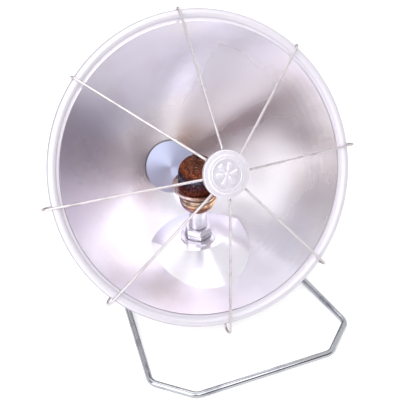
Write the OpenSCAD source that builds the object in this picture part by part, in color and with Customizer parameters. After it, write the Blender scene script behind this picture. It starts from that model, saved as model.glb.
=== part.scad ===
// Parabolic gas heater: a spun dish reflector with a gauze burner, a hooked wire
// guard and a one-piece bent wire stand. The dish tilts on two pivot pins.
// Millimetres, +Z up. The heater faces -Y, and the origin is on the floor under
// the middle of the whole heater.

/* [Reflector] */
// Outside diameter over the rolled bead of the rim
rim_d = 310; // [300:1:320]
// Depth of the dish, from the rim plane to the flat spot at its back
dish_depth = 112; // [106:1:118]
// Thickness of the spun sheet
sheet_t = 1; // [0.8:0.1:1.2]
// Outside diameter of the rolled bead
bead_d = 9; // [8:0.5:10]
// Width of the flat land between the bead and the curved wall
land_w = 3; // [2.5:0.5:4]
// Gap left where the rolled edge comes back to the wall
bead_slot = 1.6; // [1:0.2:2]
// Diameter of the flat spot left by the spinning tool
flat_spot_d = 56; // [50:1:62]
// Elevation of the dish axis at rest, degrees
tilt = 32; // [30:1:34]
// Height of the lowest point of the rim plane above the floor
rim_clear = 15.5; // [15:0.5:18]
// Distance of the rim centre behind the origin
rim_back = 17.75; // [15:0.25:20]

/* [Boss] */
// Forward lean of the pressed boss, degrees
boss_lean = 16.7; // [14:0.1:20]
// Slope of the boss flank to its own axis plane, degrees
boss_slope = 15.5; // [14:0.5:21]
// Distance of the boss apex ahead of the stem
boss_apex_ahead = 10.5; // [8:0.5:12]
// Distance of the front edge of the flat seat ahead of the stem
boss_seat_ahead = 25; // [21:1:26]

/* [Guard] */
// Diameter of the guard wire
wire_d = 2.5; // [2:0.1:3]
// Height of the wires at the hub, ahead of the rim plane
guard_h = 57.5; // [52:0.5:62]
// How far the whole guard hangs down in the rim plane
guard_sag = 3.8; // [3:0.1:4]
// Bend radius of the loose hooks, as a multiple of a snug hook's
hook_ease = 1.3; // [1:0.05:1.4]
// Length of a wire's straight end behind the bead
hook_tail = 3; // [1:0.5:4]
// Gap between the bead and a wire that rides on it
hook_gap = 0.15; // [0.1:0.05:0.4]
// Distance of the wires' inner ends from the hub centre
wire_inner_r = 9; // [6:0.5:11]
// Distance of the bend beside the hub from the hub centre
wire_bend_at = 25; // [24.5:0.5:28]
// Bend radius beside the hub
wire_bend_r = 5; // [4:0.5:7]
// Outside diameter of the hub cap
cap_d = 45; // [43:0.5:46]
// Diameter of the cap's raised middle
cap_disc_d = 36; // [30:0.5:37]
// How far the cap's middle stands up
cap_rise = 1.3; // [1.1:0.1:2]
// Thickness of the cap and of the disc behind it
cap_t = 1; // [0.8:0.1:1.2]
// How far the crimped lip of the cap reaches in behind the disc
cap_lip = 1.6; // [1:0.1:2.5]

/* [Burner] */
// Distance of the burner collar behind the rim plane
burner_back = 34.2; // [31:0.5:37]
// Distance of the burner collar below the dish axis
burner_drop = 17.6; // [15:0.5:20]
// Height of the collar above the seat on the boss
burner_rise = 65; // [62:1:68]
// Outside diameter of the burner stem
stem_d = 18; // [17:0.5:18.5]
// Wall of the burner stem
stem_wall = 2; // [1.5:0.1:2.5]
// Length of the stem below the seat
stem_below = 27; // [26:0.5:29]
// Outside diameter of the collar
collar_d = 52; // [46:1:56]
// Thickness of the collar's sheet
collar_t = 1.2; // [1:0.1:1.5]
// Height of the collar's upturned lip
collar_lip = 2; // [1:0.2:3]
// Depth of the collar's skirt
collar_skirt = 5; // [4:0.5:7]
// Outside diameter of the gauze dome
gauze_d = 38; // [36:0.5:38]
// Straight height of the gauze below its round top
gauze_side = 14; // [10:0.5:18]
// Thickness of the gauze
gauze_t = 0.8; // [0.6:0.1:1]
// Diameter of the bowl under the collar
bowl_d = 37.4; // [37:0.1:39]
// Depth of the bowl below the collar
bowl_depth = 27.5; // [26:0.5:29]
// Straight height of the bowl's upper band
bowl_band = 14; // [13.5:0.5:16]
// Thickness of the bowl's sheet
bowl_t = 1; // [0.8:0.1:1.2]
// Section diameter of the two beads pressed round the bowl
bowl_bead = 1.6; // [1:0.1:2]
// Length of the bowl's neck round the stem
bowl_neck = 4; // [4:0.5:6]
// Diameter of the disc on top of the gas diffuser
diffuser_d = 28; // [24:0.5:30]
// Height of the gas diffuser
diffuser_h = 12; // [10:0.5:14]

/* [Stem nuts] */
// Size of the thin hexagon nuts on the stem, across flats
nut_af = 24; // [23:0.5:25]
// Thickness of the hexagon nuts
nut_h = 5; // [5:0.5:6.5]
// Thickness of the uppermost nut
upper_nut_h = 7; // [6:0.5:8]
// Diameter of the washer on the seat
seat_washer_d = 37; // [34:0.5:38]
// Thickness of the washer on the seat
seat_washer_t = 1.6; // [1:0.1:2]
// Diameter of the washer below the sheet
under_washer_d = 32; // [28:0.5:34]
// Thickness of the washer below the sheet
under_washer_t = 1.5; // [1:0.1:2]
// Radial clearance of the nuts and washers on the stem
stem_gap = 0.05; // [0.02:0.01:0.08]
// Radial clearance of the hole in the dish round the stem
hole_gap = 0.15; // [0.1:0.05:0.4]

/* [Gas parts] */
// Diameter of the four air ports in the stem
air_port_d = 5.5; // [4:0.5:6]
// Depth of the air ports below the seat
air_port_drop = 16; // [15.5:0.1:16.5]
// Diameter of the brass elbow under the stem
elbow_d = 23; // [22:0.5:25]
// Height of the elbow's body
elbow_h = 15.5; // [15:0.5:16]
// Depth of the elbow's socket round the stem
elbow_socket = 7; // [6:0.5:7.5]
// Diameter of the elbow's side boss
elbow_side_d = 14; // [13:0.5:14.5]
// Reach of the elbow's side boss behind the stem axis
elbow_side_l = 16; // [14:0.5:18]
// Diameter of the gas ways
gas_way_d = 4; // [3:0.5:5]
// Size of the inlet union's hexagon, across flats
inlet_af = 15; // [14:0.5:16]
// Thickness of the inlet union's hexagon
inlet_hex_h = 5; // [4:0.5:7]
// Major diameter of the inlet thread, G 1/4
inlet_thread_d = 13.16; // [12.5:0.01:13.5]
// Length of the inlet thread
inlet_thread_l = 12; // [10:0.5:14]
// Size of the injector's hexagon, across flats
injector_af = 8; // [7:0.5:9]
// Height of the injector's hexagon
injector_hex_h = 5; // [4:0.5:6]
// Height of the injector's nozzle
injector_tip_h = 5; // [4:0.5:6]

/* [Tilt pivot] */
// Distance of the pivot behind the stem
pivot_back = 22; // [21:0.5:24]
// Distance of the pivot below the seat
pivot_drop = 20; // [19:0.5:21]
// Diameter of the pivot pins
pin_d = 6; // [5:0.1:6.2]
// Radial clearance of the bracket's ears on the pins
pin_gap = 0.05; // [0.02:0.01:0.08]
// Gap left each side of an ear
ear_gap = 0.15; // [0.1:0.05:0.25]
// Thickness of the tilt bracket
bracket_t = 2; // [1.6:0.1:2.2]
// Outside width of the tilt bracket
bracket_w = 36; // [35:0.5:38]
// Reach of the bracket ahead of the stem
bracket_ahead = 17; // [15:0.5:18]
// Radius of the bracket's ears round the pivot
ear_r = 8; // [7:0.5:9]
// Outside bend radius of the bracket
bracket_bend_r = 4; // [3:0.5:5]
// Size of the pivot nuts, across flats
pivot_nut_af = 10; // [9:0.5:11]
// Thickness of the pivot nuts
pivot_nut_h = 4; // [3.5:0.1:4.5]
// Diameter of the pivot washers
pivot_washer_d = 12; // [11:0.5:14]
// Thickness of the pivot washers
pivot_washer_t = 1; // [0.8:0.1:1.2]
// Length of each pin past its inner nut
pin_tail = 1.5; // [1:0.1:2]

/* [Stand] */
// Diameter of the stand's rod
rod_d = 6.5; // [6.2:0.1:7]
// Depth of the flat worn along the rod's underside
foot_flat = 0.3; // [0.1:0.05:0.4]
// Distance of the front bar's centre ahead of the origin
front_reach = 128.75; // [126:0.25:132]
// Length of the base between the front and rear bars' centres
base_len = 248; // [240:1:260]
// Half length of the front bar to its corners
front_half = 70.7; // [66:0.1:76]
// Half width of the base at its widest
side_half = 104.5; // [98:0.1:110]
// Distance of the widest corners behind the front bar
chamfer_l = 32; // [28:0.5:36]
// Half width of the base at the rear corners
rear_half = 76; // [70:0.5:82]
// Distance of each rising arm from the middle
arm_half = 36; // [35:0.5:40]
// Bend radius of the front and side corners
corner_r = 12; // [10:0.5:14]
// Bend radius of the rear corners
rear_r = 14; // [12:0.5:16]
// Bend radius where each arm turns in to its pin
arm_r = 8.5; // [7:0.5:9]

/* [Hidden] */
// The guard is bent by hand: the turn of each wire from its even place, degrees, and
// the play of its hook in wire thicknesses. Wires count from the right, over the top.
wire_turn = [-2.9, -5.1, -2.6, -2.0, -0.7, -5.6, -3.4, -3.9];
wire_play = [2.3, 0, 0, 0, 2.3, 0.6, 2, 1];
wire_count = len(wire_turn);
wall_steps = 26;
past = 1;                        // how far a cut runs past a face
bend_swell = 0.02;               // how much a bend stands out from its straights
bend_lap = 0.25;                 // how far a bend runs over the straights beside it
$fn = 48;

// Dish profile
rim_r = rim_d / 2;
bead_r = rim_r - bead_d / 2;     // radius of the bead's centre circle
bead_z = -sheet_t / 2;
edge_r = rim_r - bead_d - land_w;
flat_r = flat_spot_d / 2;
rise_per_r2 = dish_depth / (edge_r * edge_r - flat_r * flat_r);
rim_z = rim_r * cos(tilt) + rim_clear;

// Burner, seat and pivot
stem_y = rim_back + burner_back * cos(tilt) - burner_drop * sin(tilt);
collar_z = rim_z - burner_back * sin(tilt) - burner_drop * cos(tilt);
seat_z = collar_z - burner_rise;
stem_r = stem_d / 2;
stem_bore_r = stem_r - stem_wall;
stem_bottom_z = seat_z - stem_below;
stem_top_z = collar_z - bowl_depth + bowl_neck;
bowl_r = bowl_d / 2;
bowl_foot_r = stem_r + stem_gap + bowl_t;
bowl_top_z = collar_z - collar_t;
collar_r = collar_d / 2;
gauze_r = gauze_d / 2;
under_washer_z = seat_z - sheet_t - under_washer_t;
bracket_z = under_washer_z - bracket_t;
pivot_y = stem_y + pivot_back;
pivot_z = seat_z - pivot_drop;
pin_r = pin_d / 2;
ear_outer = bracket_w / 2;
ear_inner = ear_outer - bracket_t;

// Gas parts
elbow_top_z = stem_bottom_z + elbow_socket;
elbow_bottom_z = elbow_top_z - elbow_h;
gas_way_z = elbow_bottom_z + elbow_side_d / 2 - 2;
inlet_y = stem_y + elbow_side_l;

// Guard
wire_r = wire_d / 2;
hook_r = bead_d / 2 + wire_r + hook_gap;
hook_reach = norm([bead_r - wire_bend_at, guard_h - bead_z]);
wire_slope = atan2(guard_h - bead_z, bead_r - wire_bend_at) - asin(hook_r / hook_reach);
guard_lean = atan(guard_sag * tan(wire_slope) / bead_r);
hub_gap = 0.05;
cap_under_z = guard_h + wire_r + hub_gap;
disc_top_z = guard_h - wire_r - hub_gap;
cap_r = cap_d / 2;

// Stand
rod_r = rod_d / 2;
rod_z = rod_r - foot_flat;
front_y = -front_reach;
rear_y = front_y + base_len;
washer_x = ear_outer + ear_gap;
jam_x = washer_x + pivot_washer_t;
shoulder_x = jam_x + pivot_nut_h;
lock_x = ear_inner - ear_gap - pivot_nut_h;
pin_end_x = lock_x - pin_tail;

// A straight length of rod; its children go on from its far end, along +Z.
// It runs a little way into the bend before it and the bend after it.
module straight(l, d, before = bend_lap / 2, after = bend_lap / 2) {
    translate([0, 0, -before]) cylinder(d = d, h = before + l + after, $fn = 32);
    translate([0, 0, l]) children();
}

// A bend of radius r through an angle, from +Z towards +X; its children go on from it.
// It is a hair thicker than the straights, so that it takes their ends in.
module bend(r, angle, d) {
    lap_turn = asin(bend_lap / r);
    translate([r, 0, 0]) rotate([0, -lap_turn, 0]) rotate([90, 0, 180])
        rotate_extrude(angle = angle + 2 * lap_turn)
            translate([r, 0]) circle(d = d + 2 * bend_swell, $fn = 32);
    translate([r, 0, 0]) rotate([0, angle, 0]) translate([-r, 0, 0]) children();
}

// Length that a bend takes off each of the straights beside it
function trim(r, angle) = r * tan(angle / 2);

// A flat ring between two radii
module ring(inner, outer, h) {
    difference() {
        cylinder(r = outer, h = h);
        translate([0, 0, -past]) cylinder(r = inner, h = h + 2 * past);
    }
}

// A hexagon nut with turned-down corners
module hex_nut(af, h, bore_r) {
    corner = af / sqrt(3);
    facing = (corner - af / 2) * 0.6;
    difference() {
        intersection() {
            cylinder(r = corner, h = h, $fn = 6);
            rotate_extrude() polygon([
                [0, 0], [corner - facing, 0], [corner, facing],
                [corner, h - facing], [corner - facing, h], [0, h]]);
        }
        translate([0, 0, -past]) cylinder(r = bore_r, h = h + 2 * past);
    }
}

// Places a child drawn in the dish's own frame: +Z out of the mouth, +Y up
module on_dish() translate([0, rim_back, rim_z]) rotate([90 - tilt, 0, 0]) children();
// Places a child drawn in the guard's frame, which hangs a little low in the rim
module on_guard() on_dish() translate([0, -guard_sag, 0]) rotate([guard_lean, 0, 0]) children();
// Places a child on the stem's axis at a height
module on_stem(z) translate([0, stem_y, z]) children();
// Makes a child and its mirror image in the middle plane
module both_sides() {
    children();
    mirror([1, 0, 0]) children();
}

// ---------------------------------------------------------------- Reflector

function wall_at(i) = flat_r + (edge_r - flat_r) * i / wall_steps;
function wall_z(r) = -dish_depth + rise_per_r2 * (r * r - flat_r * flat_r);
function wall_slope(r) = 2 * rise_per_r2 * r;
function inner_point(i) = [wall_at(i), wall_z(wall_at(i))];
function outer_point(i) =
    let (r = wall_at(i), s = wall_slope(r), n = norm([1, s]))
    [r + sheet_t * s / n, wall_z(r) - sheet_t / n];

// The space inside the dish, carried on above its mouth
module dish_hollow() {
    lead = 2;
    over = edge_r + lead / wall_slope(edge_r);
    rotate_extrude($fn = 96) polygon(concat(
        [[0, -dish_depth]],
        [for (i = [0 : wall_steps]) inner_point(i)],
        [[over, lead], [over, rim_r], [0, rim_r]]));
}

// The dish filled up to its rim plane, with the land and the rolled bead
module dish_mass() {
    foot = flat_r + sheet_t * tan(atan(wall_slope(flat_r)) / 2);
    rotate_extrude($fn = 96) {
        polygon(concat(
            [[0, -dish_depth - sheet_t], [foot, -dish_depth - sheet_t]],
            [for (i = [1 : wall_steps]) outer_point(i)],
            [[outer_point(wall_steps)[0], 0], [0, 0]]));
        translate([edge_r, -sheet_t]) square([land_w + sheet_t / 2, sheet_t]);
        translate([bead_r, bead_z]) difference() {
            circle(d = bead_d);
            circle(d = bead_d - 2 * sheet_t);
            rotate(205) translate([bead_d / 2 - 1.5 * sheet_t, -bead_slot / 2])
                square([2.5 * sheet_t, bead_slot]);
        }
    }
}

// Everything under the pressed boss: a leaning cone cut off by the level seat.
// skin is measured down from the boss's upper face.
module boss_mass(skin) {
    half_apex = 90 - boss_slope;
    reach = 42;
    apex_z = seat_z + (boss_seat_ahead - boss_apex_ahead) * tan(boss_lean + boss_slope);
    intersection() {
        translate([0, stem_y - boss_apex_ahead, apex_z]) rotate([boss_lean, 0, 0])
            translate([0, 0, -reach - skin / sin(half_apex)])
                cylinder(r1 = reach * tan(half_apex), r2 = 0, h = reach, $fn = 96);
        translate([-rim_r, stem_y - rim_r, seat_z - skin - rim_d]) cube(rim_d);
    }
}

module reflector() {
    color([0.76, 0.75, 0.79]) difference() {
        on_dish() dish_mass();
        boss_mass(sheet_t);
        difference() {
            on_dish() dish_hollow();
            boss_mass(0);
        }
        on_stem(seat_z - rim_r) cylinder(r = stem_r + hole_gap, h = 2 * rim_r);
    }
}

// -------------------------------------------------------------------- Guard

function wire_azimuth(k) = wire_turn[k - 1] + (k - 1) * 360 / wire_count;
// How far the hanging guard draws a hook along its wire, towards the hub
function hook_draw(k) = max(0, guard_sag * sin(wire_azimuth(k))) / cos(wire_slope);
// The guard hangs on its upper hooks, which are snug
function hook_bend(k) = hook_draw(k) > wire_r ? hook_r : hook_r * hook_ease;

// One wire: flat in the hub, straight down to the rim and hooked round the bead
module guard_wire(k) {
    flat_l = wire_bend_at - wire_inner_r - trim(wire_bend_r, wire_slope);
    fall_l = sqrt(hook_reach * hook_reach - hook_r * hook_r) + hook_draw(k)
        + wire_play[k - 1] * wire_d + hook_gap - trim(wire_bend_r, wire_slope);
    color([0.86, 0.85, 0.84]) on_guard() rotate([0, 0, wire_azimuth(k)])
        translate([wire_inner_r, 0, guard_h]) rotate([0, 90, 0])
            straight(flat_l, wire_d) bend(wire_bend_r, wire_slope, wire_d)
                straight(fall_l, wire_d) bend(hook_bend(k), 180, wire_d)
                    straight(hook_tail, wire_d, after = 0);
}

module guard_cap() {
    lip_z = disc_top_z - cap_t;
    step_r = cap_disc_d / 2;
    color([0.88, 0.87, 0.88]) on_guard() difference() {
        rotate_extrude() {
            polygon([
                [0, cap_under_z + cap_rise], [step_r - cap_t, cap_under_z + cap_rise],
                [step_r, cap_under_z], [cap_r - cap_t, cap_under_z],
                [cap_r - cap_t, lip_z], [cap_r - cap_t - cap_lip, lip_z],
                [cap_r - cap_t - cap_lip, lip_z - cap_t], [cap_r - cap_t / 2, lip_z - cap_t],
                [cap_r, lip_z - cap_t / 2], [cap_r, cap_under_z + cap_t / 2],
                [cap_r - cap_t / 2, cap_under_z + cap_t], [step_r + cap_t / 2, cap_under_z + cap_t],
                [step_r - cap_t / 2, cap_under_z + cap_rise + cap_t],
                [0, cap_under_z + cap_rise + cap_t]]);
        }
        for (k = [1 : wire_count])
            rotate([0, 0, wire_azimuth(k)]) translate([cap_r - cap_t - past, 0, guard_h])
                rotate([0, 90, 0]) cylinder(r = wire_r + hub_gap, h = cap_t + 2 * past);
    }
}

module guard_backing_disc() {
    color([0.7, 0.7, 0.71]) on_guard() translate([0, 0, disc_top_z - cap_t])
        cylinder(r = cap_r - cap_t - hub_gap, h = cap_t);
}

// ------------------------------------------------------------------- Burner

module burner_gauze() {
    color([0.32, 0.24, 0.2]) on_stem(collar_z) rotate_extrude() {
        translate([gauze_r - gauze_t, 0]) square([gauze_t, gauze_side]);
        translate([0, gauze_side]) intersection() {
            difference() {
                circle(r = gauze_r);
                circle(r = gauze_r - gauze_t);
            }
            square(gauze_r + past);
        }
    }
}

module burner_collar() {
    shelf_r = bowl_r - 1.5 * bowl_t;
    skirt_r = bowl_r + stem_gap;
    color([0.8, 0.74, 0.68]) on_stem(collar_z) rotate_extrude() polygon([
        [shelf_r, 0], [shelf_r, -collar_t], [skirt_r, -collar_t],
        [skirt_r, -collar_skirt], [skirt_r + collar_t, -collar_skirt],
        [skirt_r + collar_t, -collar_t], [collar_r - collar_t / 2, -collar_t],
        [collar_r, -collar_t / 2], [collar_r, collar_lip - collar_t / 2],
        [collar_r - collar_t / 2, collar_lip], [collar_r - collar_t, collar_lip - collar_t / 2],
        [collar_r - collar_t, 0.8 * collar_t], [collar_r - 1.8 * collar_t, 0]]);
}

// Outside of a small bead pressed round the bowl at depth z
function bowl_bead_points(z) =
    [for (a = [90 : -30 : -90]) [bowl_r + cos(a) * bowl_bead / 2, sin(a) * bowl_bead / 2 - z]];
// Round foot of the bowl below its straight band, drawn in by an inset
function bowl_foot(inset) = [for (a = [0 : 10 : 90])
    [bowl_foot_r + (bowl_r - bowl_foot_r - inset) * cos(a),
        -bowl_band - (bowl_depth - bowl_band - inset) * sin(a)]];

module burner_bowl() {
    neck_r = stem_r + stem_gap;
    neck_end = -bowl_depth - bowl_neck / 2;
    inner = bowl_foot(bowl_t);
    color([0.68, 0.58, 0.48]) on_stem(collar_z) rotate_extrude() polygon(concat(
        [[bowl_r, -collar_t]],
        bowl_bead_points(collar_skirt + 3), bowl_bead_points(collar_skirt + 7), bowl_foot(0),
        [[bowl_foot_r, neck_end], [neck_r, neck_end], [neck_r, -bowl_depth + bowl_t]],
        [for (i = [len(inner) - 1 : -1 : 0]) inner[i]], [[bowl_r - bowl_t, -collar_t]]));
}

module gas_diffuser() {
    foot_z = stem_top_z;
    port_d = 4;
    color([0.55, 0.54, 0.53]) on_stem(foot_z) difference() {
        union() {
            ring(stem_bore_r, stem_r, diffuser_h);
            translate([0, 0, diffuser_h]) cylinder(d = diffuser_d, h = collar_t);
        }
        for (a = [0 : 60 : 120])
            rotate([90, 0, a]) translate([0, diffuser_h - port_d / 2 - 2, -stem_d])
                cylinder(d = port_d, h = 2 * stem_d);
    }
}

module stem_tube() {
    color([0.8, 0.8, 0.8]) on_stem(0) difference() {
        translate([0, 0, stem_bottom_z]) ring(stem_bore_r, stem_r, stem_top_z - stem_bottom_z);
        for (a = [45, 135])
            translate([0, 0, seat_z - air_port_drop]) rotate([90, 0, a])
                cylinder(d = air_port_d, h = 2 * stem_d, center = true);
    }
}

// --------------------------------------------------------------- Stem nuts

module upper_nut() {
    color([0.78, 0.78, 0.78]) on_stem(seat_z + seat_washer_t + nut_h)
        rotate([0, 0, 17]) hex_nut(nut_af, upper_nut_h, stem_r + stem_gap);
}

module upper_lock_nut() {
    color([0.72, 0.72, 0.72]) on_stem(seat_z + seat_washer_t)
        rotate([0, 0, 19]) hex_nut(nut_af, nut_h, stem_r + stem_gap);
}

module seat_washer() {
    color([0.8, 0.79, 0.8]) on_stem(seat_z)
        ring(stem_r + stem_gap, seat_washer_d / 2, seat_washer_t);
}

module under_washer() {
    color([0.7, 0.7, 0.7]) on_stem(under_washer_z)
        ring(stem_r + stem_gap, under_washer_d / 2, under_washer_t);
}

module lower_nut() {
    color([0.72, 0.72, 0.72]) on_stem(bracket_z - nut_h)
        rotate([0, 0, 30]) hex_nut(nut_af, nut_h, stem_r + stem_gap);
}

// ------------------------------------------------------------- Tilt bracket

// Channel section of the bracket, web at the top, drawn in the X-Z plane
module channel_section(depth) {
    module outline(w, r, low) {
        for (s = [-1, 1]) translate([s * (w / 2 - r), -r]) circle(r = r);
        translate([-w / 2 + r, -r]) square([w - 2 * r, r]);
        translate([-w / 2, -low]) square([w, low - r]);
    }
    difference() {
        outline(bracket_w, bracket_bend_r, depth);
        translate([0, -bracket_t])
            outline(bracket_w - 2 * bracket_t, bracket_bend_r - bracket_t, depth);
    }
}

// Side view of the bracket: a web with two ears that drop to the pivot
module bracket_side() {
    web_low = bracket_bend_r + 1;
    drop = bracket_z + bracket_t - pivot_z;
    rear = pivot_back + ear_r;
    translate([-bracket_ahead, -web_low]) square([bracket_ahead + rear, web_low]);
    translate([pivot_back - ear_r, -drop]) square([2 * ear_r, drop]);
    translate([pivot_back, -drop]) circle(r = ear_r);
    polygon([[pivot_back - ear_r, -drop + 2], [pivot_back - ear_r, -web_low],
        [pivot_back - 2 * ear_r, -web_low]]);
}

module tilt_bracket() {
    top = bracket_z + bracket_t;
    long = bracket_ahead + pivot_back + ear_r + past;
    color([0.74, 0.74, 0.75]) difference() {
        intersection() {
            on_stem(top) translate([0, long, 0]) rotate([90, 0, 0])
                linear_extrude(2 * long) channel_section(top - pivot_z + ear_r + past);
            on_stem(top) rotate([90, 0, 90]) translate([0, 0, -bracket_w])
                linear_extrude(2 * bracket_w) bracket_side();
        }
        on_stem(bracket_z - past) cylinder(r = stem_r + stem_gap, h = bracket_t + 2 * past);
        translate([-bracket_w, pivot_y, pivot_z]) rotate([0, 90, 0])
            cylinder(r = pin_r + pin_gap, h = 2 * bracket_w);
    }
}

// ---------------------------------------------------------------- Gas parts

module gas_elbow() {
    color([0.78, 0.62, 0.3]) on_stem(0) difference() {
        union() {
            translate([0, 0, elbow_bottom_z]) rotate_extrude() polygon([
                [0, 0], [elbow_d / 2 - 1.5, 0], [elbow_d / 2, 1.5],
                [elbow_d / 2, elbow_h - 1], [elbow_d / 2 - 1, elbow_h], [0, elbow_h]]);
            translate([0, 0, gas_way_z]) rotate([-90, 0, 0])
                cylinder(d = elbow_side_d, h = elbow_side_l);
        }
        translate([0, 0, stem_bottom_z]) cylinder(r = stem_r + stem_gap, h = elbow_h);
        translate([0, 0, gas_way_z]) cylinder(d = gas_way_d, h = elbow_h);
        translate([0, 0, gas_way_z]) rotate([-90, 0, 0])
            cylinder(d = gas_way_d, h = elbow_side_l + past);
    }
}

// A jet that stands in the stem's foot and blows past the air ports
module injector() {
    hole_r = 0.5;
    tip_r = 1.4;
    color([0.82, 0.66, 0.34]) on_stem(stem_bottom_z) difference() {
        union() {
            cylinder(r = injector_af / sqrt(3), h = injector_hex_h, $fn = 6);
            translate([0, 0, injector_hex_h])
                cylinder(r1 = injector_af / 2 - 0.5, r2 = tip_r, h = injector_tip_h);
        }
        translate([0, 0, -past]) cylinder(d = gas_way_d, h = injector_hex_h + past);
        cylinder(r = hole_r, h = injector_hex_h + injector_tip_h + past);
    }
}

module gas_inlet() {
    end_chamfer = 0.8;
    color([0.8, 0.64, 0.32]) translate([0, inlet_y, gas_way_z]) rotate([-90, 0, 0]) difference() {
        union() {
            rotate([0, 0, 30]) cylinder(r = inlet_af / sqrt(3), h = inlet_hex_h, $fn = 6);
            translate([0, 0, inlet_hex_h]) rotate_extrude() polygon([
                [0, -past], [inlet_thread_d / 2, -past],
                [inlet_thread_d / 2, inlet_thread_l - end_chamfer],
                [inlet_thread_d / 2 - end_chamfer, inlet_thread_l], [0, inlet_thread_l]]);
        }
        translate([0, 0, -past])
            cylinder(d = gas_way_d, h = inlet_hex_h + inlet_thread_l + 2 * past);
    }
}

// -------------------------------------------------------------------- Stand

// Right half of the rod, from the middle of the front bar to the shoulder of the pin
module stand_half() {
    front_turn = atan2(chamfer_l, side_half - front_half);
    side_heading = atan2(base_len - chamfer_l, rear_half - side_half);
    side_turn = side_heading - front_turn;
    rear_turn = 180 - side_heading;
    chamfer_run = norm([side_half - front_half, chamfer_l]);
    side_run = norm([side_half - rear_half, base_len - chamfer_l]);
    arm_run = norm([rear_y - pivot_y, pivot_z - rod_z]);
    arm_rise = atan2(pivot_z - rod_z, rear_y - pivot_y);
    front_trim = trim(corner_r, front_turn);
    side_trim = trim(corner_r, side_turn);
    rear_trim = trim(rear_r, rear_turn);
    translate([0, front_y, rod_z]) rotate([90, 0, 90])
        straight(front_half - front_trim, rod_d, before = 0) bend(corner_r, front_turn, rod_d)
        straight(chamfer_run - front_trim - side_trim, rod_d) bend(corner_r, side_turn, rod_d)
        straight(side_run - side_trim - rear_trim, rod_d) bend(rear_r, rear_turn, rod_d)
        straight(rear_half - arm_half - rear_trim - rear_r, rod_d)
        rotate([0, 0, arm_rise]) bend(rear_r, 90, rod_d)
        straight(arm_run - rear_r - arm_r, rod_d)
        rotate([0, 0, 180]) bend(arm_r, 90, rod_d)
        straight(arm_half - arm_r - shoulder_x, rod_d, after = 0);
}

module stand_rod() {
    color([0.72, 0.72, 0.74]) both_sides() {
        difference() {
            stand_half();
            translate([-base_len, -base_len, -2 * rod_d])
                cube([2 * base_len, 2 * base_len, 2 * rod_d]);
        }
        translate([pin_end_x, pivot_y, pivot_z]) rotate([0, 90, 0])
            cylinder(r = pin_r, h = shoulder_x - pin_end_x + pin_r);
    }
}

module pivot_jam_nuts() {
    color([0.72, 0.72, 0.72]) both_sides() translate([jam_x, pivot_y, pivot_z])
        rotate([0, 90, 0]) hex_nut(pivot_nut_af, pivot_nut_h, pin_r + pin_gap);
}

module pivot_washers() {
    color([0.78, 0.78, 0.78]) both_sides() translate([washer_x, pivot_y, pivot_z])
        rotate([0, 90, 0]) ring(pin_r + pin_gap, pivot_washer_d / 2, pivot_washer_t);
}

module pivot_lock_nuts() {
    color([0.72, 0.72, 0.72]) both_sides() translate([lock_x, pivot_y, pivot_z])
        rotate([0, 90, 0]) hex_nut(pivot_nut_af, pivot_nut_h, pin_r + pin_gap);
}

reflector();
for (k = [1 : wire_count])
    guard_wire(k);
guard_cap();
guard_backing_disc();
burner_gauze();
burner_collar();
burner_bowl();
gas_diffuser();
stem_tube();
upper_nut();
upper_lock_nut();
seat_washer();
under_washer();
tilt_bracket();
lower_nut();
gas_elbow();
injector();
gas_inlet();
stand_rod();
pivot_jam_nuts();
pivot_washers();
pivot_lock_nuts();
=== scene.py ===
"""Looks of a small parabolic gas heater: finishes, woven gauze, studio and camera.

Every length is in metres, in the frame of the exact model. The object stands on
the floor at height 0 and its dish looks along -Y, up by 32 degrees. The dish's own
coordinates have x to the right, y up the dish and z out of its mouth.
"""

import logging
import math
from dataclasses import dataclass
from enum import Enum
from typing import Sequence

import bpy
import numpy as np
from mathutils import Matrix, Vector

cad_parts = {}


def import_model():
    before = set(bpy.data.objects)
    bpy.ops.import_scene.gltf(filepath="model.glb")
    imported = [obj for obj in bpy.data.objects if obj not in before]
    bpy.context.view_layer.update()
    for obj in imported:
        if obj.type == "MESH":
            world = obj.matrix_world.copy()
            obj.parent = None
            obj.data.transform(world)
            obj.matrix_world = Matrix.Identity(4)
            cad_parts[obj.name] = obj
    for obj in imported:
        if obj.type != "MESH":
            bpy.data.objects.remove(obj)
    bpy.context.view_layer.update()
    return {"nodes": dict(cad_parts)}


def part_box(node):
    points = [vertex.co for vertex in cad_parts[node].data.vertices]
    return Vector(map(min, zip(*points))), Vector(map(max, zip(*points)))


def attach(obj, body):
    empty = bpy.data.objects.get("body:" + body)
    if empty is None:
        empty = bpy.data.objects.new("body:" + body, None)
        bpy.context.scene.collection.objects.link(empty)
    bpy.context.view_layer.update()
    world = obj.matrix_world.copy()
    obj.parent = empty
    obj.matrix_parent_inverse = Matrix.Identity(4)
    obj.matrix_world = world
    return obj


logging.basicConfig(level=logging.INFO, format="%(message)s")
log = logging.getLogger("looks")

Colour = tuple[float, float, float]
Triple = tuple[float, float, float]
Range = tuple[float, float]
Box = tuple[Vector, Vector]
Nodes = dict[str, bpy.types.Object]
Socket = bpy.types.NodeSocket

WHITE: Colour = (1.0, 1.0, 1.0)
NOISE_MEAN = 0.5
# Keeps the division by a radius from zero on the dish's axis
OFF_AXIS = 0.0001
# Places of the colour sockets on the Mix node, whose names repeat those of its other sockets
MIX_SHARE, MIX_FIRST, MIX_SECOND, MIX_RESULT = 0, 6, 7, 2


class Body(Enum):
    """The rigid bodies of the exact model."""

    STAND = "stand"
    HEAD = "head"


class Slot(Enum):
    """The record's material slots."""

    DISH = "spun_aluminium"
    WIRE = "guard_wire"
    CAP = "cap_plate"
    FASTENER = "fastener_plate"
    GAUZE = "gauze_mesh"
    COLLAR = "collar_steel"
    BOWL = "bowl_steel"
    STEM = "stem_plate"
    BRASS = "gas_brass"
    CHROME = "stand_chrome"


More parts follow.
